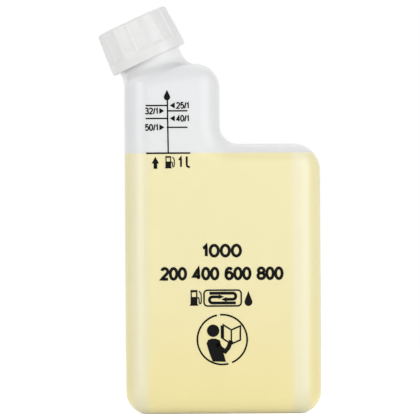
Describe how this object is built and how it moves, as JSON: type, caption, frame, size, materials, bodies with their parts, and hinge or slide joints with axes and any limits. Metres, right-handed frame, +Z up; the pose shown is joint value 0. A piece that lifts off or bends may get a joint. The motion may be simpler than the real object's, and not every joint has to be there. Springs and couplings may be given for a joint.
{
  "type": "fuel mixing bottle",
  "caption": "Flat translucent mixing bottle with a side measuring chamber, a leaning neck and a ribbed screw cap, filled with fuel to its one litre line.",
  "frame": {"origin": "middle of the flat base, on the surface that the bottle stands on", "axes": "+Z up, the printed front faces -Y, and the neck leans towards -X"},
  "size_m": [0.1311, 0.062, 0.2425],
  "materials": {
    "shell": "milky translucent blow-moulded polyethylene, soft sheen",
    "cap": "white translucent moulded plastic with a satin gloss",
    "wad": "smooth pale foam sheet",
    "fuel": "clear pale yellow liquid",
    "print": "black screen print"
  },
  "bodies": {
    "bottle_body": {"bottle": "shell", "fuel": "fuel"},
    "wad_carriage": {"cap_liner": "wad"},
    "cap_body": {"cap": "cap"}
  },
  "joints": [
    {"name": "cap_lift", "type": "slide", "parent": "bottle_body", "child": "wad_carriage", "axis": [-0.4147, 0, 0.91], "range_m": [0, 0.0255]},
    {"name": "cap_turn", "type": "hinge", "parent": "wad_carriage", "child": "cap_body", "pos_m": [-0.04315, 0, 0.2106], "axis": [-0.4147, 0, 0.91], "range_deg": [0, 2160]}
  ],
  "couplings": [
    {"joint": "cap_lift", "follows": "cap_turn", "m_per_rad": 0.00067376}
  ]
}
